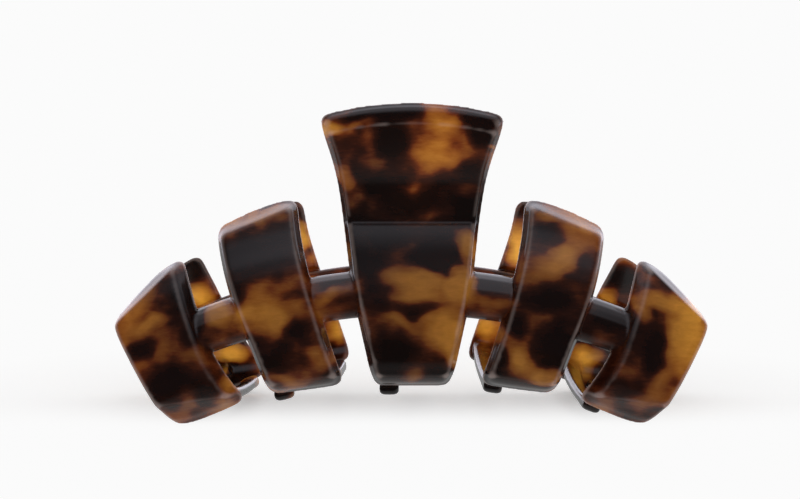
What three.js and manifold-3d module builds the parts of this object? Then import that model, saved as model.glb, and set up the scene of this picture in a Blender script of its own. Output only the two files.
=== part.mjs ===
// Arched claw clip for hair: two identical moulded jaws, a steel hinge pin and a steel torsion spring.
// Millimetres, +Z up, +X along the clip, front jaw on the -Y side, resting on its outer prongs at z = 0.
import * as THREE from "three";
import { mergeVertices } from "three/addons/utils/BufferGeometryUtils.js";
import Module from "manifold-3d";

const wasm = await Module();
wasm.setup();

// ---- driving dimensions ----
const ARCH_Z = -81.6; // the arch is struck from a line through (x 0, z ARCH_Z), along Y
const LIFT = -0.38; // sets the height, so that the outer prongs rest on z = 0
const HINGE_Z = 36; // hinge axis, along X at y = 0
const PIN_D = 2.4;
const BORE_D = 3.0;
const PIN_HALF = 10.2;
const PIN_HEAD_D = 4.0;
const PIN_HEAD_T = 0.8;
const LUG_R = 3.3; // eye of each lug
const LUGS = [
  [6.6, 9.0],
  [-6.2, -3.8],
]; // x spans of the front jaw's two lugs
const WIRE_D = 1.1;
const COIL_R = 3.0;
const COIL_HALF = 2.7;
const COIL_TURNS = 4; // whole turns before the legs' own angles
const LEG_END = [14.1, 15.2]; // |y| and height above the hinge where a leg ends
const BAR_PHI = 25.5; // degrees each side of the middle
const ARC_STEPS = 240; // facets in a full turn of the arch

// Outer face of a side prong's wall, [radius from the arch line, |y|], from the bottom up, then the inner face back down.
const SIDE_WALL = [
  [91.3, 18.2], [91.9, 19.4], [93.3, 20.9], [95.2, 21.6], [98.5, 21.9], [101.5, 21.5], [104, 20.8],
  [107, 19.7], [110, 18.4], [113, 17.0], [115.5, 15.6], [118, 13.9], [120.5, 12.3], [122.8, 11.1],
  [124.3, 9.6], [125.9, 7.4], [125.6, 6.4], [124.6, 6.2], [122.6, 7.6], [120.3, 8.9], [117.5, 10.6], [114, 12.8],
  [110, 14.9], [106, 16.7], [102, 17.9], [98.5, 18.4], [95.5, 18.1], [93.4, 17.2], [91.8, 16.6], [91.2, 17.2],
];
// The centre prong's section, [z, |y|]: wall below, a waist at z 38, then the handle leaning out to a rounded lip.
const CENTRE_WALL = [
  [8.0, 17.9], [8.8, 19.2], [10.5, 20.8], [12.7, 21.8], [18.0, 21.8], [20.3, 21.4], [22.4, 20.7], [25.4, 19.4],
  [28.4, 18.0], [30.6, 16.8], [33.4, 15.5], [35.4, 14.45], [37.0, 13.5], [38.3, 12.6], [44.8, 14.7],
  [48.4, 17.0], [52.4, 19.5], [56.2, 21.9], [57.4, 21.8], [58.6, 21.2], [59.6, 20.4], [60.4, 19.6],
  [60.2, 19.0], [57.4, 18.5], [55.0, 17.6], [51, 15.2], [47, 12.8], [44.4, 11.3], [39.6, 9.7], [36.6, 9.9],
  [33, 11.3], [30, 13.0], [27, 14.8], [23.5, 16.6], [20, 17.8], [16.9, 18.4], [13.5, 18.1], [11.4, 17.2],
  [9.6, 16.2], [8.3, 16.6],
];
// Spine bar, [radius, |y|]: convex outside, a narrow bevel along its lower edge.
const BAR = [
  [102.3, 17.4], [103.4, 18.7], [105.2, 19.0], [107.2, 18.4], [109.1, 17.0], [110.4, 15.3], [110.9, 13.6],
  [110.4, 12.6], [108.5, 12.6], [105.5, 13.6], [102.9, 14.6], [102.3, 15.6],
];
// Tooth under a prong, [offset from the prong's lower radius, y on the way inwards]: positive y is its own side.
const TOOTH = [
  [3.6, 21.3], [1.6, 20.4], [0.3, 18.6], [-0.45, 15.6], [-1.0, 11], [-1.6, 6], [-2.0, 1], [-2.25, -4],
  [-2.35, -9], [-2.3, -12], [-2.05, -14.3], [-1.5, -15.1], [-0.7, -15.1], [-0.2, -14.4], [-0.1, -12], [-0.1, -8], [0.1, -2], [0.4, 4],
  [0.95, 9], [1.5, 13], [2.2, 16], [3.2, 17.6], [5.0, 17.8], [5.0, 20.6],
];

// Front outlines, [x, z]; the side prongs are mirrored to the other side.
const CENTRE_HALF = [
  [6.3, 8.0], [7.3, 10.4], [8.3, 15], [9.2, 19], [10.2, 23], [11.0, 27.2], [11.5, 30.8], [12.1, 35], [12.65, 39],
  [13.2, 43.6], [13.9, 47.6], [14.75, 50.8], [15.6, 53.4], [16.55, 57.2],
];
const CENTRE_TOP_Z = 59.35;
const GROWTH = 0.4; // the outlines below are at mid-thickness of the drafted rims; the widest line is this much outside them
const INNER = [
  [22.6, 42.2], [29.5, 40.4], [37.1, 36.6], [36.4, 32.8], [35.3, 29], [33.6, 24.2], [31.5, 19.3], [29.8, 16],
  [27.7, 10.8], [25.9, 6.5], [19.7, 7.2], [13.0, 8.2], [14.8, 13.4], [17.1, 20.2], [19.4, 26.9], [20.8, 31.9], [21.9, 36.6],
];
const OUTER = [
  [44.3, 30.4], [47.5, 28.7], [50.3, 25.9], [53.2, 22.8], [56.0, 19.2], [54.9, 16.4], [51.7, 11.5], [48.5, 6.6],
  [45.0, 1.5], [43.2, 0.7], [40.6, 1.2], [36.4, 2.9], [31.4, 5.2], [35.0, 9.8], [37.8, 14.4], [40.5, 20.6], [42.6, 26],
];
// Tooth spans across each prong of the front jaw, [x low, x high, lower radius of its prong, tilt of its sides in degrees].
const TEETH = [
  [2.6, 6.1, 90.2, 0], // centre
  [22.9, 26.3, 92.4, 14], // inner, right
  [-17.2, -13.8, 91.6, -9], // inner, left
  [38.9, 42.1, 94.6, 27], // outer, right
  [-36.4, -33.0, 93.3, -21], // outer, left
];

// ---- helpers ----
function solid(geometry, matrix) {
  const g = geometry.index ? geometry.toNonIndexed() : geometry.clone();
  if (matrix) g.applyMatrix4(matrix);
  const bare = new THREE.BufferGeometry();
  bare.setAttribute("position", g.getAttribute("position"));
  const m = mergeVertices(bare, 1e-4);
  const p = new Float32Array(m.attributes.position.array);
  const t = new Uint32Array(m.index.array);
  const v = (i) => new THREE.Vector3().fromArray(p, 3 * i);
  let vol = 0;
  for (let i = 0; i < t.length; i += 3) vol += v(t[i]).dot(v(t[i + 1]).cross(v(t[i + 2])));
  if (vol < 0) for (let i = 0; i < t.length; i += 3) [t[i + 1], t[i + 2]] = [t[i + 2], t[i + 1]];
  return new wasm.Manifold(new wasm.Mesh({ numProp: 3, vertProperties: p, triVerts: t }));
}
const shapeOf = (pts) => new THREE.Shape(pts.map(([a, b]) => new THREE.Vector2(a, b)));

// Corner points replaced by short arcs of radius r, where the outline turns sharply.
function rounded(pts, r, steps = 4) {
  const out = [];
  const n = pts.length;
  pts.forEach((p, i) => {
    const P = new THREE.Vector2(...p), A = new THREE.Vector2(...pts[(i + n - 1) % n]), B = new THREE.Vector2(...pts[(i + 1) % n]);
    const a = A.clone().sub(P), b = B.clone().sub(P);
    const turn = Math.PI - Math.abs(a.angleTo(b));
    if (turn < 0.5) return out.push(p);
    const d = Math.min(r * Math.tan(turn / 2), a.length() * 0.45, b.length() * 0.45);
    const S = P.clone().add(a.setLength(d)), E = P.clone().add(b.setLength(d));
    const q = new THREE.QuadraticBezierCurve(S, P, E);
    for (let k = 0; k <= steps; k++) { const c = q.getPoint(k / steps); out.push([c.x, c.y]); }
  });
  return out;
}

// The outline with every side moved outwards by d.
function grown(pts, d) {
  let area = 0;
  pts.forEach(([x, z], i) => { const [a, b] = pts[(i + 1) % pts.length]; area += x * b - a * z; });
  const s = area > 0 ? 1 : -1;
  const normal = (a, b) => new THREE.Vector2(b[1] - a[1], a[0] - b[0]).normalize().multiplyScalar(s);
  return pts.map((q, i) => {
    const n0 = normal(pts[(i + pts.length - 1) % pts.length], q), n1 = normal(q, pts[(i + 1) % pts.length]);
    const m = n0.clone().add(n1), k = d / m.dot(n0);
    return [q[0] + m.x * k, q[1] + m.y * k];
  });
}

// Outline in x and z, extruded between two y values.
function plate(pts, y0, y1) {
  const g = new THREE.ExtrudeGeometry(shapeOf(pts), { depth: y1 - y0, bevelEnabled: false, steps: 1 });
  g.rotateX(Math.PI / 2);
  g.translate(0, y1, 0);
  return solid(g);
}
// Section in y and z, extruded between two x values.
function bar(pts, x0, x1) {
  const g = new THREE.ExtrudeGeometry(shapeOf(pts), { depth: x1 - x0, bevelEnabled: false, steps: 1 });
  g.applyMatrix4(new THREE.Matrix4().set(0, 0, 1, 0, 1, 0, 0, 0, 0, 1, 0, 0, 0, 0, 0, 1));
  g.translate(x0, 0, 0);
  return solid(g);
}
// Section in radius and y, turned about the arch line.
function turned(pts) {
  const ring = pts.map(([r, y]) => new THREE.Vector2(r, y));
  ring.push(ring[0].clone());
  const g = new THREE.LatheGeometry(ring, ARC_STEPS);
  g.translate(0, 0, ARCH_Z);
  return solid(g);
}
const mirrorX = (pts) => pts.map(([x, z]) => [-x, z]).reverse();
const front = (pts) => pts.map(([r, y]) => [r, -y]);
const polar = (r, deg) => [r * Math.sin((deg * Math.PI) / 180), ARCH_Z + r * Math.cos((deg * Math.PI) / 180)];

// ---- one jaw, as the front one ----
function jaw() {
  // Side prongs: the turned wall, cut to each prong's outline.
  const wall = turned(front(SIDE_WALL));
  let j = null;
  for (const outline of [INNER, mirrorX(INNER), OUTER, mirrorX(OUTER)]) {
    const w = wall.intersect(plate(rounded(grown(outline, GROWTH), 2.4), -30, 0));
    j = j ? j.add(w) : w;
  }
  // Centre prong with its handle.
  const half = CENTRE_HALF;
  const top = [];
  const [tx, tz] = half[half.length - 1];
  for (let k = 2; k < 11; k++) {
    const x = tx * (1 - k / 6);
    top.push([x, CENTRE_TOP_Z - (CENTRE_TOP_Z - tz) * (x / tx) ** 2]);
  }
  const outline = [...half, ...top, ...mirrorX(half)];
  const section = bar(CENTRE_WALL.map(([z, y]) => [-y, z]), -20, 20);
  j = j.add(section.intersect(plate(rounded(grown(outline, GROWTH), 2.6), -30, 0)));
  // Spine bar along the arch.
  const sector = [];
  for (let k = 0; k <= 24; k++) sector.push(polar(130, -BAR_PHI + (2 * BAR_PHI * k) / 24));
  for (let k = 24; k >= 0; k--) sector.push(polar(95, -BAR_PHI + (2 * BAR_PHI * k) / 24));
  j = j.add(turned(front(BAR)).intersect(plate(sector, -30, 0)));
  // Teeth.
  for (const [x0, x1, r0, tilt] of TEETH) {
    const prof = TOOTH.map(([d, y]) => [r0 + d, -y]);
    const t = Math.tan((tilt * Math.PI) / 180);
    const zc = Math.sqrt(r0 * r0 - ((x0 + x1) / 2) ** 2) + ARCH_Z;
    const cut = [[x0 - 8 * t, zc - 8], [x1 - 8 * t, zc - 8], [x1 + 8 * t, zc + 8], [x0 + 8 * t, zc + 8]];
    j = j.add(turned(prof).intersect(plate(cut, -30, 30)));
  }
  // Hinge lugs with their eyes.
  for (const [x0, x1] of LUGS) {
    const eye = [];
    for (let k = 0; k <= 16; k++) {
      const a = -Math.PI / 2 + (Math.PI * k) / 16;
      eye.push([LUG_R * Math.cos(a), HINGE_Z + LUG_R * Math.sin(a)]);
    }
    j = j.add(bar([[-13.2, HINGE_Z - 5.0], [-12.6, HINGE_Z - 6.2], ...eye, [-10.6, HINGE_Z + 5.0], [-11.4, HINGE_Z + 3.4], [-11.4, HINGE_Z]], x0, x1));
  }
  const bore = solid(new THREE.CylinderGeometry(BORE_D / 2, BORE_D / 2, 40, 32).rotateZ(Math.PI / 2).translate(0, 0, HINGE_Z));
  j = j.subtract(bore);
  return j;
}

function geometryOf(m) {
  const mesh = m.getMesh();
  const g = new THREE.BufferGeometry();
  const n = mesh.numProp;
  const pos = new Float32Array((mesh.vertProperties.length / n) * 3);
  for (let i = 0; i < pos.length / 3; i++) for (let k = 0; k < 3; k++) pos[3 * i + k] = mesh.vertProperties[n * i + k];
  g.setAttribute("position", new THREE.BufferAttribute(pos, 3));
  g.setIndex(new THREE.BufferAttribute(new Uint32Array(mesh.triVerts), 1));
  g.computeVertexNormals();
  return g;
}

const clip = new THREE.Group();
function add(name, geometry, material) {
  const mesh = new THREE.Mesh(geometry, material);
  mesh.name = name;
  mesh.position.z = LIFT;
  clip.add(mesh);
  return mesh;
}
const shell = new THREE.MeshStandardMaterial({ color: 0x6a3d18, roughness: 0.12, metalness: 0 });
const steel = new THREE.MeshStandardMaterial({ color: 0xb9bcc0, roughness: 0.3, metalness: 1 });

const frontJaw = geometryOf(jaw());
const backJaw = frontJaw.clone().rotateZ(Math.PI);
add("front_jaw", frontJaw, shell);
add("back_jaw", backJaw, shell);

// Pin: a round shaft with a low head at each end.
const h = PIN_HALF, r = PIN_D / 2, R = PIN_HEAD_D / 2, t = PIN_HEAD_T;
const pinProfile = [[0, -h], [R - 0.3, -h], [R, -h + 0.3], [R, -h + t], [r, -h + t], [r, h - t], [R, h - t], [R, h - 0.3], [R - 0.3, h], [0, h]];
const pin = new THREE.LatheGeometry(pinProfile.map(([a, b]) => new THREE.Vector2(a, b)), 32);
pin.rotateZ(-Math.PI / 2).translate(0, 0, HINGE_Z);
add("hinge_pin", geometryOf(solid(pin)), steel);

// Torsion spring: a close coil round the pin, with a leg up behind each handle.
class SpringPath extends THREE.Curve {
  constructor() {
    super();
    const d = Math.hypot(...LEG_END);
    const off = Math.atan2(LEG_END[1], -LEG_END[0]) - Math.acos(COIL_R / d);
    this.a1 = off + 2 * Math.PI * COIL_TURNS;
    this.a0 = Math.PI - off;
    this.leg = Math.sqrt(d * d - COIL_R * COIL_R);
    this.coil = (this.a1 - this.a0) * COIL_R;
    this.total = this.coil + 2 * this.leg;
  }
  at(a, target) {
    const f = (a - this.a0) / (this.a1 - this.a0);
    return target.set(-COIL_HALF + 2 * COIL_HALF * f, COIL_R * Math.cos(a), HINGE_Z + COIL_R * Math.sin(a));
  }
  getPoint(t, target = new THREE.Vector3()) {
    const s = t * this.total;
    if (s < this.leg) {
      const b = this.leg - s;
      this.at(this.a0, target);
      return target.add(new THREE.Vector3(0, Math.sin(this.a0) * b, -Math.cos(this.a0) * b));
    }
    if (s > this.leg + this.coil) {
      const b = s - this.leg - this.coil;
      this.at(this.a1, target);
      return target.add(new THREE.Vector3(0, -Math.sin(this.a1) * b, Math.cos(this.a1) * b));
    }
    return this.at(this.a0 + (s - this.leg) / COIL_R, target);
  }
}
const wire = new THREE.Shape();
wire.absarc(0, 0, WIRE_D / 2, 0, 2 * Math.PI, false);
const spring = new THREE.ExtrudeGeometry(wire, { steps: 260, curveSegments: 5, bevelEnabled: false, extrudePath: new SpringPath() });
add("torsion_spring", geometryOf(solid(spring)), steel);

export default clip;
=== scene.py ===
import math

import bpy
import numpy as np
from mathutils import Vector, Matrix


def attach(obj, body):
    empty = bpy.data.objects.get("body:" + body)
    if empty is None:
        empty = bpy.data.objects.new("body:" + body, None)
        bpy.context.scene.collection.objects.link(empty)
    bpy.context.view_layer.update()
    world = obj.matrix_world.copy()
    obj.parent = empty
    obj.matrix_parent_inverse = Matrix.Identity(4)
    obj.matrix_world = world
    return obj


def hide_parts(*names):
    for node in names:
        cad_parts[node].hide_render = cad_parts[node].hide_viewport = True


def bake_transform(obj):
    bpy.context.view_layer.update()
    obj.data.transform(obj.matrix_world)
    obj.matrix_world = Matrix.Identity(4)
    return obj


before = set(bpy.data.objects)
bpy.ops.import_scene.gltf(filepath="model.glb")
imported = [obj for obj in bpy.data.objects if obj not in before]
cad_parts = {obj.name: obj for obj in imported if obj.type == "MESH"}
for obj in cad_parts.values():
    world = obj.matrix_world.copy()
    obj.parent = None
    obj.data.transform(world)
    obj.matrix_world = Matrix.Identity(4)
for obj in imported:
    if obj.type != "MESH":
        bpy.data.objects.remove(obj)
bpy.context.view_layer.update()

# Everything below is worked out in millimetres in the clip's own frame and scaled to metres at the end.
ARCH_Z = -81.6
LIFT = -0.38
HINGE_Z = 36.0
VOXEL = 0.25
scene = bpy.context.scene


# ------------------------------------------------------------------ helpers
def new_mesh(name, verts, faces):
    me = bpy.data.meshes.new(name)
    me.from_pydata([tuple(v) for v in verts], [], [tuple(f) for f in faces])
    me.validate()
    me.update()
    return me


def new_object(name, me):
    o = bpy.data.objects.new(name, me)
    scene.collection.objects.link(o)
    return o


def baked(o):
    """The object's mesh with its modifiers applied, and the object removed."""
    dg = bpy.context.evaluated_depsgraph_get()
    dg.update()
    me = bpy.data.meshes.new_from_object(o.evaluated_get(dg))
    old = o.data
    bpy.data.objects.remove(o)
    bpy.data.meshes.remove(old)
    return me


def remeshed(me, voxel, smooth=0, factor=0.5):
    o = new_object("work", me)
    m = o.modifiers.new("remesh", "REMESH")
    m.mode = "VOXEL"
    m.voxel_size = voxel
    m.adaptivity = 0
    if smooth:
        s = o.modifiers.new("smooth", "SMOOTH")
        s.factor = factor
        s.iterations = smooth
    return baked(o)


def coords(me):
    co = np.empty(len(me.vertices) * 3)
    me.vertices.foreach_get("co", co)
    return co.reshape(-1, 3)


def set_coords(me, co):
    me.vertices.foreach_set("co", np.ascontiguousarray(co, float).ravel())
    me.update()


def joined(meshes):
    verts, faces, n = [], [], 0
    for me in meshes:
        verts.append(coords(me))
        faces += [tuple(i + n for i in p.vertices) for p in me.polygons]
        n += len(me.vertices)
        bpy.data.meshes.remove(me)
    return new_mesh("joined", np.concatenate(verts), faces)


def tube(rings, name="tube"):
    """Closed skin over rings of equal length, with a flat cap at each end."""
    k = len(rings[0])
    verts = [p for r in rings for p in r]
    faces = []
    for i in range(len(rings) - 1):
        for j in range(k):
            a, b = i * k + j, i * k + (j + 1) % k
            faces.append((a, b, b + k, a + k))
    faces.append(tuple(reversed(range(k))))
    faces.append(tuple((len(rings) - 1) * k + j for j in range(k)))
    me = new_mesh(name, verts, faces)
    # outward faces
    co = coords(me)
    vol = 0.0
    for p in me.polygons:
        v = p.vertices
        for q in range(1, len(v) - 1):
            vol += np.dot(co[v[0]], np.cross(co[v[q]], co[v[q + 1]]))
    if vol < 0:
        me.flip_normals()
    return me


def lerp_table(table, x):
    t = np.array(table, float)
    o = np.argsort(t[:, 0])
    return np.interp(x, t[o, 0], t[o, 1])


def smooth_table(table, x, h=0.5):
    """The table's broken line with its corners eased over about 2h."""
    return sum(w * lerp_table(table, x + d * h) for d, w in ((-1, 0.1), (-0.5, 0.22), (0, 0.36), (0.5, 0.22), (1, 0.1)))


# ------------------------------------------------------------------ outlines (x, z) of each prong's widest face
CENTRE_HALF = [
    (6.3, 8.0), (7.3, 10.4), (8.3, 15), (9.2, 19), (10.2, 23), (11.0, 27.2), (11.5, 30.8), (12.1, 35), (12.65, 39),
    (13.2, 43.6), (13.9, 47.6), (14.75, 50.8), (15.6, 53.4), (16.55, 57.2),
]
CENTRE_TOP_Z = 59.35
INNER = [
    (22.6, 42.2), (29.5, 40.4), (37.1, 36.6), (36.4, 32.8), (35.3, 29), (33.6, 24.2), (31.5, 19.3), (29.8, 16),
    (27.7, 10.8), (25.9, 6.5), (19.7, 7.2), (13.0, 8.2), (14.8, 13.4), (17.1, 20.2), (19.4, 26.9), (20.8, 31.9), (21.9, 36.6),
]
OUTER = [
    (44.3, 30.4), (47.5, 28.7), (50.3, 25.9), (53.1, 22.7), (55.7, 19.3), (54.5, 16.5), (51.3, 11.6), (48.1, 6.7),
    (44.8, 1.6), (43.2, 0.7), (40.6, 1.2), (36.4, 2.9), (31.4, 5.2), (35.0, 9.8), (37.8, 14.4), (40.5, 20.6), (42.6, 26),
]


def centre_outline():
    half = CENTRE_HALF
    tx, tz = half[-1]
    top = [(tx * (1 - k / 6), CENTRE_TOP_Z - (CENTRE_TOP_Z - tz) * (1 - k / 6) ** 2) for k in range(2, 11)]
    return list(half) + top + [(-x, z) for x, z in reversed(half)]


def mirrored(pts):
    return [(-x, z) for x, z in reversed(pts)]


def inset(pts, d):
    """The polygon with every side moved inwards by d (pts run anticlockwise or clockwise)."""
    p = np.array(pts, float)
    area = 0.5 * np.sum(p[:, 0] * np.roll(p[:, 1], -1) - np.roll(p[:, 0], -1) * p[:, 1])
    s = 1.0 if area > 0 else -1.0
    e = np.roll(p, -1, 0) - p
    n = np.stack([-e[:, 1], e[:, 0]], 1) * s
    n /= np.linalg.norm(n, axis=1, keepdims=True)
    m = n + np.roll(n, 1, 0)
    q = np.sum(m * np.roll(n, 1, 0), axis=1, keepdims=True)
    return p + m / q * d


def loop(pts, r, steps=6):
    """The outline with its sharp corners rounded to radius r and its gentle ones eased."""
    p = np.array(pts, float)
    n = len(p)
    out = []
    for i in range(n):
        P, A, B = p[i], p[i - 1], p[(i + 1) % n]
        a, b = A - P, B - P
        la, lb = np.linalg.norm(a), np.linalg.norm(b)
        turn = math.pi - math.acos(max(-1, min(1, float(a @ b) / (la * lb))))
        if turn > 0.5:
            d = min(r * math.tan(turn / 2), 0.45 * la, 0.45 * lb)
            da = db = d
        else:
            da, db = 0.45 * la, 0.45 * lb
        S, E = P + a / la * da, P + b / lb * db
        for k in range(steps + 1):
            t = k / steps
            out.append((1 - t) ** 2 * S + 2 * t * (1 - t) * P + t * t * E)
    return np.array(out)


# (inset mm, share of the wall's thickness from the inner face) round the rim of a prong, from inside to outside:
# the sides are drafted, so the outer face is narrower, and its edge is rounded.
RIM = [
    (0.6, 0.0), (0.0, 0.0), (-0.3, 0.035), (-0.5, 0.12), (-0.55, 0.22), (-0.32, 0.38), (-0.02, 0.56), (0.2, 0.72),
    (0.35, 0.83), (0.55, 0.92), (0.82, 0.98), (1.15, 1.0),
]
FLAT_T = 3.3


def plate(outline, r, rim=RIM, draft=1.0):
    rings = []
    for d, w in rim:
        pts = loop(inset(outline, d * draft), max(r - 0.55 * d * draft, 0.5))
        rings.append([(x, w * FLAT_T, z) for x, z in pts])
    return remeshed(tube(rings), VOXEL, smooth=8, factor=0.5)


# ------------------------------------------------------------------ wall surfaces
SIDE_OUT = [(91, 21.2), (93.3, 21.35), (95.5, 21.65), (98.5, 21.9), (101.5, 21.5), (104, 20.8), (107, 19.7), (110, 18.4), (113, 17.0),
            (115.5, 15.6), (118, 13.9), (120.5, 12.3), (122.8, 11.1), (126, 9.6)]
SIDE_IN = [(91, 18.3), (95.5, 18.4), (98.5, 18.4), (102, 17.9), (106, 16.7), (110, 14.9), (114, 12.8), (117.5, 10.6), (120.3, 8.9),
           (122.6, 7.6), (126, 5.9)]
CENTRE_OUT = [(6, 21.0), (10.5, 21.2), (12.7, 21.8), (18.0, 21.8), (20.3, 21.35), (22.4, 20.6), (25.4, 19.25), (28.4, 17.85),
              (30.6, 16.8), (33.4, 15.5), (35.4, 14.45), (37.0, 13.5), (38.3, 12.6), (44.8, 14.7), (48.4, 17.0),
              (52.4, 19.5), (56.2, 21.9), (58, 22.6), (60, 23.2)]
CENTRE_IN = [(6, 18.2), (11.4, 18.3), (16.9, 18.4), (20, 17.8), (23.5, 16.6), (27, 14.8), (30, 13.0), (33, 11.3), (36.6, 9.9),
             (39.6, 9.7), (44.4, 11.3), (47, 12.8), (51, 15.2), (55.0, 17.6), (57.4, 18.5), (60, 19.3)]
# How far the outer face falls inwards, by distance from the prong's upper and lower edge.
LIP_SIDE = [(-1, 2.7), (0, 2.2), (0.5, 1.5), (1.1, 0.4), (1.35, 0.08), (1.6, 0.0)]
LIP_CENTRE = [(-1, 0.0), (0.0, 0.0), (0.12, 0.4), (0.5, 1.3), (0.8, 2.1), (1.0, 2.7), (1.3, 3.2)]  # by share of the way from the crease to the top
BEVEL_OUT = [(-1, 3.0), (0, 2.0), (1.35, 0.55), (1.7, 0.15), (2.0, 0.0)]
BEVEL_OUTER = [(-2.6, 3.7), (0, 1.9), (1.4, 0.5), (1.7, 0.12), (1.95, 0.0)]
BEVEL_IN = [(-1, 2.0), (0, 1.7), (1.2, 1.3), (2.6, 0.3), (3.6, 0.0)]
LIP_IN = [(-1, 0.2), (0, 0.1), (1, 0.0)]


def edge_distance(x, z, a, b):
    """Signed distance from the line a-b, positive below it when a-b runs left to right."""
    a, b = np.array(a, float), np.array(b, float)
    t = (b - a) / np.linalg.norm(b - a)
    n = np.array([t[1], -t[0]])
    return (x - a[0]) * n[0] + (z - a[1]) * n[1]


def side_surfaces(top, bottom, sign, bevel=None):
    def f(x, z):
        x = x * sign
        r = np.hypot(x, z - ARCH_Z)
        dt = edge_distance(x, z, *top)
        db = -edge_distance(x, z, *bottom)
        out = smooth_table(SIDE_OUT, r, 0.9) - smooth_table(LIP_SIDE, dt, 0.3) - smooth_table(bevel or BEVEL_OUT, db, 0.25)
        inn = smooth_table(SIDE_IN, r, 0.9) - smooth_table(LIP_IN, dt, 0.3) - smooth_table(BEVEL_IN, db, 0.4)
        return np.maximum(out, inn + 1.1), inn
    return f


def centre_surfaces(x, z):
    top = CENTRE_TOP_Z + 0.3 - 2.15 * (x / 16.6) ** 2
    crease = 55.9 - 1.7 * (x / 15.0) ** 2
    share = (z - crease) / (top - crease)
    db = z - 8.0
    out = smooth_table(CENTRE_OUT, z, np.clip(np.abs(z - 38.3) * 0.7, 0.35, 1.4)) - smooth_table(LIP_CENTRE, share, 0.08) - smooth_table(BEVEL_OUT, db, 0.25)
    inn = smooth_table(CENTRE_IN, z, 0.9) - smooth_table(BEVEL_IN, db, 0.4)
    return np.maximum(out, inn + 1.1), inn


def prong(outline, r, surfaces, lean=0.0):
    me = plate(outline, r)
    co = coords(me)
    w = co[:, 1] / FLAT_T
    co[:, 0] += lean * (w - 0.3)
    out, inn = surfaces(co[:, 0], co[:, 2])
    co[:, 1] = -(inn + (out - inn) * w)
    set_coords(me, co)
    return me


INNER_TOP, INNER_BOTTOM = ((22.6, 42.4), (37.1, 36.4)), ((13.0, 8.2), (25.9, 6.4))
OUTER_TOP, OUTER_BOTTOM = ((45.0, 31.3), (56.6, 19.5)), ((31.4, 4.7), (46.8, 2.6))

# ------------------------------------------------------------------ spine bar, teeth, lugs
BAR = [
    (102.3, 17.2), (102.75, 18.1), (103.4, 18.65), (104.3, 18.95), (105.4, 18.95), (106.6, 18.65), (107.8, 18.05), (108.9, 17.2),
    (109.8, 16.2), (110.5, 15.0), (110.85, 13.9), (110.7, 13.0), (110.0, 12.6), (108.5, 12.65), (107, 13.1), (105.5, 13.7),
    (104, 14.3), (102.9, 14.8), (102.35, 15.4),
]


def spine():
    rings = []
    for k in range(73):
        a = math.radians(-25.8 + 51.6 * k / 72)
        rings.append([(r * math.sin(a), -y, ARCH_Z + r * math.cos(a)) for r, y in BAR])
    return tube(rings)


# Tooth centreline: (y inwards from its own side, offset from the prong's lower radius, thickness, width)
TOOTH = [
    (19.4, 3.8, 2.4, 4.2), (18.8, 2.4, 2.5, 4.3), (17.4, 1.25, 2.5, 4.3), (15.2, 0.65, 2.4, 4.2), (12.5, 0.15, 2.3, 4.0),
    (9.0, -0.35, 2.25, 3.8), (5, -0.8, 2.2, 3.6), (0, -1.2, 2.2, 3.45), (-5, -1.5, 2.2, 3.35), (-9, -1.65, 2.25, 3.35),
    (-12, -1.75, 2.5, 3.6), (-13.6, -1.78, 2.6, 3.7), (-14.4, -1.75, 2.4, 3.5), (-14.9, -1.7, 1.8, 2.9), (-15.1, -1.65, 1.0, 1.9),
]
TEETH = [(6.1, 90.2, 0, 1), (26.3, 92.4, 14, 1), (-13.8, 91.6, -9, 1), (42.1, 94.6, 27, 1), (-33.0, 93.3, -21, 1)]


def tooth(x_right, r0, tilt, _):
    """x_right is the tooth's right edge at its prong's lower radius."""
    a = math.radians(tilt)
    base = np.array([x_right, math.sqrt(r0 * r0 - x_right * x_right) + ARCH_Z])
    right, up = np.array([math.cos(a), -math.sin(a)]), np.array([math.sin(a), math.cos(a)])
    pts = np.array(TOOTH, float)
    # resample the centreline smoothly
    t = np.linspace(0, len(pts) - 1, 60)
    i = np.clip(t.astype(int), 0, len(pts) - 2)
    f = (t - i)[:, None]
    P0, P1, P2, P3 = pts[np.clip(i - 1, 0, None)], pts[i], pts[i + 1], pts[np.clip(i + 2, None, len(pts) - 1)]
    c = 0.5 * (2 * P1 + (P2 - P0) * f + (2 * P0 - 5 * P1 + 4 * P2 - P3) * f * f + (3 * P1 - P0 - 3 * P2 + P3) * f ** 3)
    rings = []
    for k in range(len(c)):
        q, p = c[min(k + 1, len(c) - 1)], c[max(k - 1, 0)]
        d = np.array([q[0] - p[0], q[1] - p[1]])
        d /= np.linalg.norm(d) + 1e-9
        n = np.array([-d[1], d[0]])  # in (y, offset)
        y, off, th, wd = c[k]
        ring = []
        for m in range(24):
            u = 2 * math.pi * m / 24
            cu, su = math.cos(u), math.sin(u)
            e = 0.55
            ax = math.copysign(abs(cu) ** e, cu) * wd / 2
            bn = math.copysign(abs(su) ** e, su) * th / 2
            # the right edge keeps its line, so a wide root grows to the left
            across = ax - wd / 2
            yy, oo = y + n[0] * bn, off + n[1] * bn
            xz = base + right * across + up * oo
            ring.append((xz[0], -yy, xz[1]))
        rings.append(ring)
    return tube(rings)


def lug(x0, x1):
    eye = [(3.3 * math.cos(-math.pi / 2 + math.pi * k / 20), HINGE_Z + 3.3 * math.sin(-math.pi / 2 + math.pi * k / 20)) for k in range(21)]
    body = [(-13.2, HINGE_Z - 5.0), (-12.6, HINGE_Z - 6.2)] + eye + [(-10.6, HINGE_Z + 5.0), (-11.4, HINGE_Z + 3.4), (-11.4, HINGE_Z)]
    rings = []
    for x, d in ((x0, 0.35), (x0 + 0.12, 0.1), (x0 + 0.4, 0.0), (x1 - 0.4, 0.0), (x1 - 0.12, 0.1), (x1, 0.35)):
        rings.append([(x, y, z) for y, z in inset(body, d)])
    return tube(rings)


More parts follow.
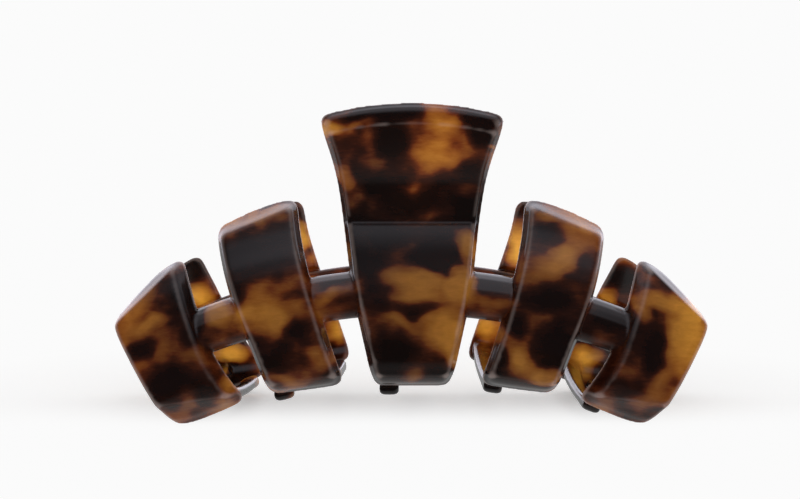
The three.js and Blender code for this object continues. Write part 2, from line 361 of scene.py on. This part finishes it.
def cylinder(radius, x0, x1, y, z, n=64):
    return tube([[(x, y + radius * math.cos(2 * math.pi * k / n), z + radius * math.sin(2 * math.pi * k / n)) for k in range(n)] for x in (x0, x1)])


def jaw_mesh():
    parts = [prong(centre_outline(), 2.6, centre_surfaces)]
    for sign in (1, -1):
        flip = (lambda p: p) if sign > 0 else mirrored
        parts.append(prong(flip(INNER), 2.3, side_surfaces(INNER_TOP, INNER_BOTTOM, sign)))
        parts.append(prong(flip(OUTER), 2.4, side_surfaces(OUTER_TOP, OUTER_BOTTOM, sign, BEVEL_OUTER), 1.2 * sign))
    parts.append(spine())
    parts += [tooth(*t) for t in TEETH]
    parts += [lug(6.6, 9.0), lug(-6.2, -3.8)]
    me = remeshed(joined(parts), VOXEL, smooth=4, factor=0.5)
    o = new_object("jaw_work", me)
    cut = new_object("bore_work", cylinder(1.5, -20, 20, 0, HINGE_Z))
    b = o.modifiers.new("bore", "BOOLEAN")
    b.operation = "DIFFERENCE"
    b.solver = "EXACT"
    b.object = cut
    me = baked(o)
    old = cut.data
    bpy.data.objects.remove(cut)
    bpy.data.meshes.remove(old)
    return me


def placed(name, me, turn=False):
    co = coords(me)
    if turn:
        co = co * np.array([-1, -1, 1])
    co[:, 2] += LIFT
    set_coords(me, co * 0.001)
    me.polygons.foreach_set("use_smooth", [True] * len(me.polygons))
    me.name = name
    return new_object(name, me)


def painted_edge_highlight(me):
    """0..1 at each point: 1 on sharp outer edges, where a pale painted highlight line is mixed into the shell's colour.
    """
    co = coords(me)
    n = len(co)
    nor = np.empty(n * 3)
    me.vertices.foreach_get("normal", nor)
    nor = nor.reshape(-1, 3)
    e = np.empty(len(me.edges) * 2, dtype=np.int64)
    me.edges.foreach_get("vertices", e)
    e = e.reshape(-1, 2)
    i, j = np.concatenate([e[:, 0], e[:, 1]]), np.concatenate([e[:, 1], e[:, 0]])
    count = np.maximum(np.bincount(i, minlength=n), 1)
    mean = np.stack([np.bincount(i, weights=co[j, k], minlength=n) / count for k in range(3)], 1)
    h = -np.sum((mean - co) * nor, axis=1)
    for _ in range(5):
        h = 0.4 * h + 0.6 * np.bincount(i, weights=h[j], minlength=n) / count
    t = np.clip((h - EDGE_HIGHLIGHT_RANGE[0]) / (EDGE_HIGHLIGHT_RANGE[1] - EDGE_HIGHLIGHT_RANGE[0]), 0, 1)
    t = t * t * (3 - 2 * t)
    # the teeth get no painted edge highlight
    inside = np.clip((17.0 - np.abs(co[:, 1])) / 1.5, 0, 1) * np.clip((14.0 - co[:, 2]) / 2, 0, 1)
    return t * (1 - inside)


EDGE_HIGHLIGHT_RANGE = (0.005, 0.014)  # mm that a point stands out of its neighbours


jaw = jaw_mesh()
edge_highlight = painted_edge_highlight(jaw)
print("edge share", float(edge_highlight.mean()), np.percentile(edge_highlight, (50, 75, 90, 95)).round(2))
back = jaw.copy()
front_obj = placed("front_jaw_shell", jaw)
back_obj = placed("back_jaw_shell", back, turn=True)

# ------------------------------------------------------------------ where the shell is amber and where it is dark
# (x, z above the arch line less 80.9, half-width, half-height, turn in degrees, strength): above 0 amber, below 0 dark brown, on each jaw.
FRONT_TONE = [
    # centre prong
    (3.4, 50.4, 5.4, 3.0, 4, 0.42), (5.6, 57.2, 3.0, 1.7, 8, 0.42), (5.0, 54.0, 2.8, 1.6, 0, 0.3), (13.9, 51.9, 1.3, 0.6, -10, 0.8),
    (-14.9, 55.8, 2.0, 1.6, 0, 0.75), (-10.4, 56.4, 2.0, 0.9, 0, 0.35), (-12.6, 46.4, 2.0, 2.2, 0, 0.5), (9.0, 43.6, 3.6, 2.0, 0, 0.34),
    (6.4, 40.6, 3.6, 1.4, 0, 0.22), (-10.4, 42.4, 2.6, 2.6, 0, 0.24),
    (1.6, 27.4, 7.0, 2.5, -4, 0.85), (10.8, 34.2, 2.2, 3.4, 0, 0.75), (9.8, 28.8, 2.2, 3.2, 0, 0.8), (4.2, 30.6, 2.6, 1.5, -10, -0.6), (9.2, 25.6, 2.6, 2.8, 0, 0.8), (5.8, 18.6, 3.4, 3.6, 0, 0.8),
    (7.2, 14.0, 1.7, 2.6, 0, 0.7), (-2.6, 20.8, 3.0, 0.8, -8, 0.3), (-7.4, 33.0, 1.0, 3.2, 0, 0.15), (1.2, 11.0, 1.6, 1.0, 0, 0.2),
    # the dark entries near z 58 on this line run along the centre prong's top lip: partly the shell's dark pattern,
    # partly painted shade for the dark the lip reflects
    (-4.2, 53.6, 3.8, 3.8, 8, -0.8), (-10.4, 51.2, 4.0, 3.6, 0, -0.36), (-3.0, 58.0, 4.6, 1.7, 4, -0.9), (-9.4, 58.2, 4.4, 1.5, 10, -0.8), (12.6, 57.9, 3.4, 1.5, -14, -0.9), (-0.2, 46.6, 2.2, 1.6, 0, -0.35), (-7.6, 47.0, 3.0, 2.0, 0, 0.1), (12.4, 54.6, 2.6, 3.6, 0, -0.9),
    (11.6, 48.0, 2.6, 2.2, 0, -0.35), (-2.0, 41.6, 6.0, 2.2, 0, -0.3), (-9.0, 49.6, 3.6, 2.0, 0, 0.12), (5.4, 46.0, 4.6, 2.0, 0, 0.16), (-2.0, 36.4, 8.0, 2.6, 0, -0.5), (3.4, 32.6, 5.0, 1.9, 10, -0.8), (-8.0, 36.0, 2.6, 2.6, 0, 0.2),
    (-5.6, 24.4, 3.4, 3.4, 0, -0.5), (-3.2, 15.4, 5.0, 4.2, 0, -0.7), (0.5, 22.6, 6.3, 1.2, 0, -0.6),
    # inner left
    (-26.0, 20.6, 3.8, 4.2, 15, 0.62), (-30.2, 22.6, 1.8, 1.6, 0, 0.5), (-17.6, 14.4, 2.4, 2.4, 0, 0.6), (-21.4, 24.4, 1.8, 1.4, 0, 0.3),
    (-27.0, 40.2, 5.0, 0.9, 22, 0.6), (-31.2, 31.2, 2.4, 1.3, 20, 0.15), (-22.6, 9.6, 3.0, 1.0, 0, 0.35), (-18.8, 28.0, 1.4, 3.0, 0, 0.1),
    (-28.5, 33.6, 8.0, 4.6, 20, -0.62), (-20.8, 19.4, 2.8, 2.4, 0, -0.8), (-26.4, 12.4, 3.4, 2.2, 0, -0.75), (-33.4, 27.0, 2.4, 2.0, 0, -0.5),
    # inner right
    (28.2, 32.0, 6.2, 2.3, 18, 0.7), (33.6, 37.0, 2.8, 1.4, -20, 0.5), (18.7, 13.8, 2.6, 3.2, -8, 0.8), (22.8, 10.6, 4.0, 2.1, 0, 0.75),
    (34.4, 27.4, 1.5, 2.6, -10, 0.3), (25.6, 40.6, 5.0, 0.9, -20, 0.3),
    (25.4, 25.4, 5.0, 2.8, 0, -0.8), (26.6, 16.4, 4.6, 4.2, 0, -0.75), (24.6, 37.2, 4.4, 2.4, -20, -0.6), (20.0, 20.4, 1.8, 2.6, 0, -0.6),
    # outer left
    (-49.0, 19.8, 4.2, 1.5, 8, 0.6), (-42.6, 16.0, 1.6, 1.8, 0, 0.2), (-33.6, 9.4, 1.8, 2.4, 20, 0.7), (-46.4, 25.0, 4.6, 2.2, 42, -0.45), (-38.0, 8.0, 2.8, 3.0, 0, -0.6), (-35.6, 21.8, 2.6, 2.2, 15, 0.9),
    (-44.0, 9.6, 5.4, 5.0, 20, -0.7), (-41.2, 25.4, 3.6, 3.0, 30, -0.8), (-50.6, 15.0, 3.0, 2.4, 30, -0.7), (-39.0, 19.6, 1.6, 2.4, 0, -0.8),
    # outer right
    (50.6, 18.4, 3.6, 6.4, -18, 0.9), (42.2, 21.8, 2.2, 3.0, -10, 0.7), (46.8, 23.8, 3.6, 1.8, -20, 0.75), (52.6, 22.0, 2.0, 2.0, 0, 0.7),
    (44.0, 14.6, 2.8, 3.6, -10, -0.75), (39.8, 9.0, 3.8, 2.8, 0, -0.5), (47.2, 29.0, 3.4, 1.8, -30, -0.6), (47.6, 8.4, 1.6, 2.2, 0, -0.3),
    # spine bar
    (-14.8, 27.8, 4.6, 1.2, 6, -0.5), (-15.6, 25.2, 3.4, 1.4, 6, 0.45), (14.8, 27.4, 5.0, 2.2, 0, -0.5), (15.4, 24.6, 3.4, 1.3, 0, 0.3), (36.6, 22.6, 4.0, 3.4, 0, -0.9), (11.6, 27.8, 1.2, 1.6, 0, 0.6),
]
BACK_TONE = [
    (-22.4, 35.6, 2.6, 3.4, 0, 0.9), (-20.0, 40.6, 3.2, 1.8, 0, -0.8), (-23.6, 30.6, 2.4, 1.6, 0, -0.4), (-45.0, 22.0, 3.4, 2.8, 0, 1.1),
    (-47.2, 28.4, 4.6, 3.0, 20, -1.2), (-39.6, 9.6, 4.0, 3.0, 0, 1.1), (-41.4, 5.4, 3.4, 1.6, 0, -0.9), (-35.4, 12.6, 1.6, 1.6, 0, -0.6),
    (-15.7, 15.4, 2.6, 3.4, 0, 0.9), (-14.8, 9.6, 2.4, 1.6, 0, 0.2), (-17.4, 12.6, 1.2, 1.4, 0, -0.4), (23.0, 33.0, 2.6, 4.4, 0, 1.0),
    (21.6, 39.4, 2.4, 1.6, 0, -0.3), (19.4, 27.6, 1.5, 1.6, 0, -0.6), (16.9, 15.0, 2.6, 3.2, 0, 0.8), (15.4, 9.0, 2.6, 1.8, 0, -0.2),
    (46.0, 27.0, 4.2, 3.2, 0, -0.45), (42.8, 22.6, 1.8, 1.8, 0, 0.8), (39.0, 8.4, 4.0, 3.6, 0, 1.1), (36.0, 13.4, 2.0, 1.4, 0, -0.8),
    (43.0, 12.2, 1.6, 2.0, 0, -0.4), (0.0, 50.0, 7.0, 4.0, 20, 0.9), (-9.0, 40.0, 4.0, 3.4, 0, 0.7), (6.0, 30.0, 4.6, 3.6, 0, 0.8),
    # the four strength -1.5 entries low down (x -4.6, 14.8, -25.0, 34.4) are painted shade on the back teeth's tips,
    # whose end faces sit in shadow
    (-5.0, 18.0, 4.0, 4.2, 0, 0.9), (8.0, 44.0, 5.0, 3.0, 0, -0.8), (0.0, 24.0, 6.0, 2.0, 0, -0.8), (-4.6, 6.8, 2.4, 2.0, 0, -1.5),
    (14.8, 7.2, 2.4, 1.8, 0, -1.5), (-25.0, 6.8, 2.6, 2.0, 0, -1.5), (34.4, 5.4, 2.6, 2.0, 0, -1.5), (-31.0, 26.0, 4.0, 4.5, 0, -0.8),
    (30.0, 20.0, 4.0, 4.5, 0, -0.8), (51.0, 18.0, 4.0, 5.0, 0, -0.7), (-53.0, 18.0, 3.5, 4.0, 0, 0.8),
]


def lattice_noise(p, cell, seed):
    """Smooth value noise in -1..1 on a fixed lattice."""
    q = p / cell
    i = np.floor(q).astype(np.int64)
    f = q - i
    f = f * f * (3 - 2 * f)
    total = 0.0
    for dx in (0, 1):
        for dy in (0, 1):
            for dz in (0, 1):
                h = (i[:, 0] + dx) * 73856093 ^ (i[:, 1] + dy) * 19349663 ^ (i[:, 2] + dz) * 83492791 ^ seed * 2654435
                h = (h ^ (h >> 13)) * 1274126177 & 0xFFFFFFFF
                h = (h ^ (h >> 16)) & 0xFFFFFF
                w = (f[:, 0] if dx else 1 - f[:, 0]) * (f[:, 1] if dy else 1 - f[:, 1]) * (f[:, 2] if dz else 1 - f[:, 2])
                total = total + w * (h / 8388607.5 - 1.0)
    return total


def paint(obj, blobs, seed, top):
    p = coords(obj.data) * 1000.0 + np.array([0, 0, 0.7 - LIFT])
    warp = np.stack([lattice_noise(p, 6.5, seed + k) * 1.5 + lattice_noise(p, 2.4, seed + 10 + k) * 0.55 for k in range(3)], 1)
    q = p + warp
    base = 0.9 * lattice_noise(p * np.array([0.85, 1, 1.1]), 8.5, seed + 20) + 0.4 * lattice_noise(p, 3.5, seed + 21) - 0.22
    speck = 0.55 * lattice_noise(p * np.array([0.8, 1, 1.3]), 4.6, seed + 30) + 0.3 * lattice_noise(p, 1.9, seed + 31)
    tone = base
    cover = np.zeros(len(p))
    target = np.zeros(len(p))
    for x, z, rx, rz, turn, strength in blobs:
        a = math.radians(turn)
        dx, dz = q[:, 0] - x, q[:, 2] - z
        u, v = dx * math.cos(a) + dz * math.sin(a), -dx * math.sin(a) + dz * math.cos(a)
        w = np.clip(1.35 - np.sqrt((u / rx) ** 2 + (v / rz) ** 2), 0, 1) ** 1.3
        target += w * strength * 1.3
        cover = np.maximum(cover, np.clip(w * 2.2, 0, 1) * abs(strength))
    tone = (base * (1 - 0.75 * cover) + target) * 1.2 + speck * 0.75
    tone = np.sign(tone) * np.abs(tone) ** 0.78
    a = obj.data.attributes.new("tone", "FLOAT", "POINT")
    a.data.foreach_set("value", np.clip(tone, -1.5, top).astype(np.float32))
    # this attribute carries the painted highlight along sharp edges
    a = obj.data.attributes.new("edge_highlight", "FLOAT", "POINT")
    a.data.foreach_set("value", edge_highlight.astype(np.float32))


# the back jaw's tone may reach 1.5 where the front's stops at 1.0: the back's brighter amber is painted glow of the
# light behind it, on top of the real translucency
paint(front_obj, FRONT_TONE, 5, 1.0)
paint(back_obj, BACK_TONE, 9, 1.5)

# ------------------------------------------------------------------ pin
PIN = [(0.0, -10.2), (1.2, -10.2), (1.62, -10.12), (1.88, -9.93), (2.0, -9.65), (2.0, -9.52), (1.93, -9.42), (1.82, -9.4), (1.28, -9.4), (1.2, -9.3)]
prof = PIN + [(r, -y) for r, y in reversed(PIN)]
rings = [[(x, max(r, 0.02) * math.cos(2 * math.pi * k / 64), HINGE_Z + max(r, 0.02) * math.sin(2 * math.pi * k / 64)) for k in range(64)] for r, x in prof]
pin_obj = placed("hinge_pin_steel", tube(rings))

# ------------------------------------------------------------------ torsion spring
COIL_R, WIRE, COIL_HALF, TURNS = 3.0, 1.1, 2.7, 4
LEG_Y, LEG_Z = 14.1, 15.2
d = math.hypot(LEG_Y, LEG_Z)
off = math.atan2(LEG_Z, -LEG_Y) - math.acos(COIL_R / d)
a1, a0 = off + 2 * math.pi * TURNS, math.pi - off
leg = math.sqrt(d * d - COIL_R * COIL_R)


def coil_point(a):
    f = (a - a0) / (a1 - a0)
    return np.array([-COIL_HALF + 2 * COIL_HALF * f, COIL_R * math.cos(a), HINGE_Z + COIL_R * math.sin(a)])


path = []
for k in range(30):
    b = leg * (1 - k / 30)
    path.append(coil_point(a0) + np.array([0, math.sin(a0) * b, -math.cos(a0) * b]))
for k in range(401):
    path.append(coil_point(a0 + (a1 - a0) * k / 400))
for k in range(1, 31):
    b = leg * k / 30
    path.append(coil_point(a1) + np.array([0, -math.sin(a1) * b, math.cos(a1) * b]))
path = np.array(path)
rings = []
for k in range(len(path)):
    t = path[min(k + 1, len(path) - 1)] - path[max(k - 1, 0)]
    t /= np.linalg.norm(t)
    u = np.array([1.0, 0, 0]) - t * t[0]
    u /= np.linalg.norm(u)
    v = np.cross(t, u)
    s = 0.82 if k in (0, len(path) - 1) else 1.0
    rings.append([path[k] + (u * math.cos(2 * math.pi * m / 16) + v * math.sin(2 * math.pi * m / 16)) * WIRE / 2 * s for m in range(16)])
spring_obj = placed("torsion_spring_wire", tube(rings))


# ------------------------------------------------------------------ materials
def nodes_of(mat):
    mat.use_nodes = True
    nt = mat.node_tree
    nt.nodes.clear()
    return nt, nt.nodes, nt.links


def ramp(n, stops, interpolation="LINEAR"):
    r = n.new("ShaderNodeValToRGB")
    r.color_ramp.interpolation = interpolation
    e = r.color_ramp.elements
    while len(e) > 1:
        e.remove(e[-1])
    e[0].position, e[0].color = stops[0][0], (*stops[0][1], 1)
    for p, c in stops[1:]:
        x = e.new(p)
        x.color = (*c, 1)
    return r


def noise(n, links, vector, scale, detail=3.0, rough=0.5, distortion=0.0):
    t = n.new("ShaderNodeTexNoise")
    t.inputs["Scale"].default_value = scale
    t.inputs["Detail"].default_value = detail
    t.inputs["Roughness"].default_value = rough
    t.inputs["Distortion"].default_value = distortion
    links.new(vector, t.inputs["Vector"])
    return t


def tortoise():
    mat = bpy.data.materials.new("tortoiseshell")
    nt, n, links = nodes_of(mat)
    out = n.new("ShaderNodeOutputMaterial")
    bsdf = n.new("ShaderNodeBsdfPrincipled")
    through = n.new("ShaderNodeBsdfTranslucent")
    both = n.new("ShaderNodeAddShader")
    links.new(bsdf.outputs[0], both.inputs[0])
    links.new(through.outputs[0], both.inputs[1])
    links.new(both.outputs[0], out.inputs[0])
    tc = n.new("ShaderNodeTexCoord")
    tone = n.new("ShaderNodeAttribute")
    tone.attribute_name = "tone"
    streak = n.new("ShaderNodeMapping")
    streak.inputs["Scale"].default_value = (0.4, 1.0, 1.25)
    streak.inputs["Rotation"].default_value = (0.0, 0.12, 0.0)
    links.new(tc.outputs["Object"], streak.inputs["Vector"])
    fine = noise(n, links, streak.outputs[0], 900.0, 6.0, 0.68, 0.4)
    soft = noise(n, links, tc.outputs["Object"], 210.0, 3.0, 0.5, 0.2)
    m1 = n.new("ShaderNodeMapRange")
    m1.inputs["From Min"].default_value = -1.0
    m1.inputs["From Max"].default_value = 1.5
    m1.inputs["To Min"].default_value = -0.216
    m1.inputs["To Max"].default_value = 0.784
    links.new(tone.outputs["Fac"], m1.inputs["Value"])
    m2 = n.new("ShaderNodeMath")
    m2.operation = "MULTIPLY_ADD"
    m2.inputs[1].default_value = 0.32
    links.new(fine.outputs["Fac"], m2.inputs[0])
    links.new(m1.outputs[0], m2.inputs[2])
    m3 = n.new("ShaderNodeMath")
    m3.operation = "MULTIPLY_ADD"
    m3.inputs[1].default_value = 0.144
    links.new(soft.outputs["Fac"], m3.inputs[0])
    links.new(m2.outputs[0], m3.inputs[2])
    r = ramp(n, [
        (0.04, (0.0035, 0.0012, 0.0008)), (0.24, (0.011, 0.0031, 0.0016)), (0.352, (0.031, 0.0092, 0.0034)), (0.416, (0.042, 0.0125, 0.0046)),
        (0.48, (0.060, 0.020, 0.0062)), (0.624, (0.095, 0.036, 0.0092)), (0.8, (0.128, 0.053, 0.014)), (1.0, (0.15, 0.068, 0.018)),
    ])
    t = ramp(n, [
        (0.04, (0.018, 0.006, 0.003)), (0.24, (0.056, 0.018, 0.008)), (0.352, (0.15, 0.045, 0.015)), (0.416, (0.24, 0.082, 0.024)),
        (0.48, (0.31, 0.135, 0.037)), (0.624, (0.45, 0.255, 0.070)), (0.8, (0.62, 0.43, 0.13)), (1.0, (0.86, 0.62, 0.21)),
    ])
    links.new(m3.outputs[0], r.inputs[0])
    links.new(m3.outputs[0], t.inputs[0])
    # painted highlight: along sharp edges a pale grey-lilac is mixed into the base colour, standing in for the light
    # lines the edges catch
    edge_highlight = n.new("ShaderNodeAttribute")
    edge_highlight.attribute_name = "edge_highlight"
    highlight_strength = n.new("ShaderNodeMath")
    highlight_strength.operation = "MULTIPLY"
    highlight_strength.inputs[1].default_value = 0.85
    links.new(edge_highlight.outputs["Fac"], highlight_strength.inputs[0])
    highlight_mix = n.new("ShaderNodeMix")
    highlight_mix.data_type = "RGBA"
    col_a, col_b = [i for i in highlight_mix.inputs if i.type == "RGBA"]
    col_b.default_value = (0.23, 0.18, 0.165, 1)
    links.new(highlight_strength.outputs[0], [i for i in highlight_mix.inputs if i.type == "VALUE" and i.enabled][0])
    links.new(r.outputs[0], col_a)
    links.new([o for o in highlight_mix.outputs if o.type == "RGBA"][0], bsdf.inputs["Base Color"])
    links.new(t.outputs[0], through.inputs["Color"])
    bsdf.inputs["Roughness"].default_value = 0.16
    bsdf.inputs["IOR"].default_value = 1.49
    bsdf.inputs["Coat Weight"].default_value = 0.3
    bsdf.inputs["Coat Roughness"].default_value = 0.06
    # faint waviness of hand-polished plastic
    wave = noise(n, links, tc.outputs["Object"], 150.0, 2.0, 0.5)
    bump = n.new("ShaderNodeBump")
    bump.inputs["Strength"].default_value = 0.05
    bump.inputs["Distance"].default_value = 0.0006
    links.new(wave.outputs["Fac"], bump.inputs["Height"])
    links.new(bump.outputs[0], bsdf.inputs["Normal"])
    return mat


def steel(name, colour, rough, scale):
    mat = bpy.data.materials.new(name)
    nt, n, links = nodes_of(mat)
    out = n.new("ShaderNodeOutputMaterial")
    bsdf = n.new("ShaderNodeBsdfPrincipled")
    links.new(bsdf.outputs[0], out.inputs[0])
    tc = n.new("ShaderNodeTexCoord")
    mp = n.new("ShaderNodeMapping")
    mp.inputs["Scale"].default_value = scale
    links.new(tc.outputs["Object"], mp.inputs["Vector"])
    lines = noise(n, links, mp.outputs[0], 900.0, 4.0, 0.6)
    stain = noise(n, links, tc.outputs["Object"], 260.0, 3.0, 0.5)
    rc = ramp(n, [(0.3, tuple(0.8 * c for c in colour)), (0.7, colour)])
    links.new(stain.outputs["Fac"], rc.inputs[0])
    links.new(rc.outputs[0], bsdf.inputs["Base Color"])
    rr = n.new("ShaderNodeMapRange")
    rr.inputs["To Min"].default_value = rough * 0.8
    rr.inputs["To Max"].default_value = rough * 1.3
    links.new(lines.outputs["Fac"], rr.inputs["Value"])
    links.new(rr.outputs[0], bsdf.inputs["Roughness"])
    bsdf.inputs["Metallic"].default_value = 1.0
    bump = n.new("ShaderNodeBump")
    bump.inputs["Strength"].default_value = 0.12
    bump.inputs["Distance"].default_value = 0.0001
    links.new(lines.outputs["Fac"], bump.inputs["Height"])
    links.new(bump.outputs[0], bsdf.inputs["Normal"])
    return mat


shell = tortoise()
for o in (front_obj, back_obj):
    o.data.materials.clear()
    o.data.materials.append(shell)
pin_obj.data.materials.append(steel("pin_steel", (0.62, 0.62, 0.64), 0.24, (1.0, 0.2, 0.2)))
spring_obj.data.materials.append(steel("spring_steel", (0.52, 0.52, 0.54), 0.3, (1.0, 1.0, 1.0)))

# ------------------------------------------------------------------ frame links
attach(front_obj, "front"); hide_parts("front_jaw")
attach(back_obj, "back"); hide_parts("back_jaw")
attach(pin_obj, "front"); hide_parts("hinge_pin")
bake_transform(spring_obj)
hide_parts("torsion_spring")


# ------------------------------------------------------------------ stage
# Soft studio light, as a function of direction: a bright wall behind the clip and a bright ceiling, falling off towards the
# viewer's side. (low, high, value at low, value at high) along the direction's own z and y.
SOFT_UP = (0.15, 0.95, 0.0, 0.75)
SOFT_BEHIND = (-0.2, 0.8, 0.12, 2.3)
GLOSS_UP = (0.66, 1.0, 0.0, 0.74)
GLOSS_FADE = (-0.25, 0.1, 1.0, 0.75)
GLOSS_BEHIND = (-0.05, 0.8, 0.05, 1.5)
PALE = 0.965


def step(v, a, b, lo, hi):
    t = np.clip((v - a) / (b - a), 0, 1)
    return lo + (hi - lo) * t * t * (3 - 2 * t)


FLOOR_TILT = (0.0, -0.7, 0.714)  # the way the floor's shading faces, a little towards the viewer, so shadows fall under and behind


def floor_light():
    """Light that an open floor receives from the soft light, as a share of its colour's brightness."""
    th = (np.arange(90) + 0.5) / 90 * math.pi / 2
    ph = (np.arange(180) + 0.5) / 180 * 2 * math.pi
    T, P = np.meshgrid(th, ph)
    z, y = np.cos(T), np.sin(T) * np.sin(P)
    w = np.clip(FLOOR_TILT[2] * z + FLOOR_TILT[1] * y, 0, None) * np.sin(T)
    return float(np.sum((step(z, *SOFT_UP) + step(y, *SOFT_BEHIND)) * w) / np.sum(np.cos(T) * np.sin(T)))


def floor_mesh():
    n, r = 96, 4.0
    verts = [(0, 0, 0)] + [(r * math.cos(2 * math.pi * k / n), r * math.sin(2 * math.pi * k / n), 0) for k in range(n)]
    return new_mesh("studio_floor", verts, [(0, 1 + k, 1 + (k + 1) % n) for k in range(n)])


floor = new_object("studio_floor", floor_mesh())
fm = bpy.data.materials.new("studio_white")
nt, n, links = nodes_of(fm)
out = n.new("ShaderNodeOutputMaterial")
dif = n.new("ShaderNodeBsdfDiffuse")
albedo = PALE / floor_light()
print("floor albedo", albedo)
dif.inputs["Color"].default_value = (albedo, albedo, albedo, 1)
tilt = n.new("ShaderNodeCombineXYZ")
for k in range(3):
    tilt.inputs[k].default_value = FLOOR_TILT[k]
links.new(tilt.outputs[0], dif.inputs["Normal"])
glow = n.new("ShaderNodeEmission")
glow.inputs["Color"].default_value = (PALE, PALE, PALE, 1)
fmix = n.new("ShaderNodeMixShader")
ftc = n.new("ShaderNodeTexCoord")
fsep = n.new("ShaderNodeSeparateXYZ")
links.new(ftc.outputs["Object"], fsep.inputs[0])
fshare = n.new("ShaderNodeMapRange")
fshare.interpolation_type = "SMOOTHSTEP"
for k, v in (("From Min", -0.02), ("From Max", 0.012), ("To Min", 0.0), ("To Max", 1.0)):
    fshare.inputs[k].default_value = v
links.new(fsep.outputs[1], fshare.inputs["Value"])
fside = n.new("ShaderNodeMath")
fside.operation = "ABSOLUTE"
links.new(fsep.outputs[0], fside.inputs[0])
fends = n.new("ShaderNodeMapRange")
fends.interpolation_type = "SMOOTHSTEP"
for k, v in (("From Min", 0.02), ("From Max", 0.045), ("To Min", -0.42), ("To Max", -0.68)):
    fends.inputs[k].default_value = v
links.new(fside.outputs[0], fends.inputs["Value"])
fsum = n.new("ShaderNodeMath")
fsum.operation = "MULTIPLY_ADD"
fsum.inputs[2].default_value = 0.98
far = n.new("ShaderNodeVectorMath")
far.operation = "LENGTH"
links.new(ftc.outputs["Object"], far.inputs[0])
near = n.new("ShaderNodeMapRange")
near.interpolation_type = "SMOOTHSTEP"
for k, v in (("From Min", 0.07), ("From Max", 0.14), ("To Min", 1.0), ("To Max", 0.0)):
    near.inputs[k].default_value = v
links.new(far.outputs["Value"], near.inputs["Value"])
both = n.new("ShaderNodeMath")
both.operation = "MULTIPLY"
links.new(fshare.outputs[0], both.inputs[0])
links.new(near.outputs[0], both.inputs[1])
links.new(both.outputs[0], fsum.inputs[0])
links.new(fends.outputs[0], fsum.inputs[1])
links.new(fsum.outputs[0], fmix.inputs[0])
links.new(dif.outputs[0], fmix.inputs[1])
links.new(glow.outputs[0], fmix.inputs[2])
dim = n.new("ShaderNodeEmission")
fc = n.new("ShaderNodeTexCoord")
fs = n.new("ShaderNodeSeparateXYZ")
links.new(fc.outputs["Object"], fs.inputs[0])
fr = n.new("ShaderNodeMapRange")
for k, v in (("From Min", -0.05), ("From Max", -0.018), ("To Min", 0.035), ("To Max", 0.4)):
    fr.inputs[k].default_value = v
links.new(fs.outputs[1], fr.inputs["Value"])
links.new(fr.outputs[0], dim.inputs["Strength"])
flp = n.new("ShaderNodeLightPath")
fsel = n.new("ShaderNodeMixShader")
links.new(flp.outputs["Is Glossy Ray"], fsel.inputs[0])
links.new(fmix.outputs[0], fsel.inputs[1])
links.new(dim.outputs[0], fsel.inputs[2])
links.new(fsel.outputs[0], out.inputs[0])
floor.data.materials.append(fm)

world = bpy.data.worlds.new("studio")
scene.world = world
world.use_nodes = True
nt = world.node_tree
nt.nodes.clear()
n, links = nt.nodes, nt.links
out = n.new("ShaderNodeOutputWorld")
tc = n.new("ShaderNodeTexCoord")
sep = n.new("ShaderNodeSeparateXYZ")
links.new(tc.outputs["Generated"], sep.inputs[0])


def world_range(socket, a, b, lo, hi):
    m = n.new("ShaderNodeMapRange")
    m.interpolation_type = "SMOOTHSTEP"
    for k, v in (("From Min", a), ("From Max", b), ("To Min", lo), ("To Max", hi)):
        m.inputs[k].default_value = v
    links.new(socket, m.inputs["Value"])
    return m.outputs[0]


def soft_light(up, behind, colour, fade=None):
    a = n.new("ShaderNodeMath")
    a.operation = "ADD"
    if fade:
        m = n.new("ShaderNodeMath")
        m.operation = "MULTIPLY"
        links.new(world_range(sep.outputs[2], *up), m.inputs[0])
        links.new(world_range(sep.outputs[1], *fade), m.inputs[1])
        links.new(m.outputs[0], a.inputs[0])
    else:
        links.new(world_range(sep.outputs[2], *up), a.inputs[0])
    links.new(world_range(sep.outputs[1], *behind), a.inputs[1])
    b = n.new("ShaderNodeBackground")
    b.inputs["Color"].default_value = (*colour, 1)
    links.new(a.outputs[0], b.inputs["Strength"])
    return b


lp = n.new("ShaderNodeLightPath")
m1 = n.new("ShaderNodeMixShader")
links.new(lp.outputs["Is Glossy Ray"], m1.inputs[0])
links.new(soft_light(SOFT_UP, SOFT_BEHIND, (1, 1, 1)).outputs[0], m1.inputs[1])
links.new(soft_light(GLOSS_UP, GLOSS_BEHIND, (0.92, 0.9, 1.0), GLOSS_FADE).outputs[0], m1.inputs[2])
seen = n.new("ShaderNodeBackground")
seen.inputs["Color"].default_value = (PALE, PALE, PALE, 1)
m2 = n.new("ShaderNodeMixShader")
links.new(lp.outputs["Is Camera Ray"], m2.inputs[0])
links.new(m1.outputs[0], m2.inputs[1])
links.new(seen.outputs[0], m2.inputs[2])
links.new(m2.outputs[0], out.inputs[0])

# ------------------------------------------------------------------ camera
cam = bpy.data.cameras.new("camera")
cam_obj = bpy.data.objects.new("camera", cam)
scene.collection.objects.link(cam_obj)
scene.camera = cam_obj
cam.sensor_width = 36.0
cam.lens = 36.0 * 1095.0 / 800.0
cam.clip_start = 0.01
cam.clip_end = 30.0
yaw, pitch = math.atan(10 / 1095.0), math.atan(34.5 / 1095.0)
fwd = Vector((math.sin(yaw) * math.cos(pitch), math.cos(yaw) * math.cos(pitch), -math.sin(pitch)))
cam_obj.location = (-0.0041, -0.220, 0.0393 + LIFT * 0.001)
cam_obj.rotation_euler = fwd.to_track_quat("-Z", "Y").to_euler()

scene.view_settings.view_transform = "Standard"
scene.view_settings.look = "None"
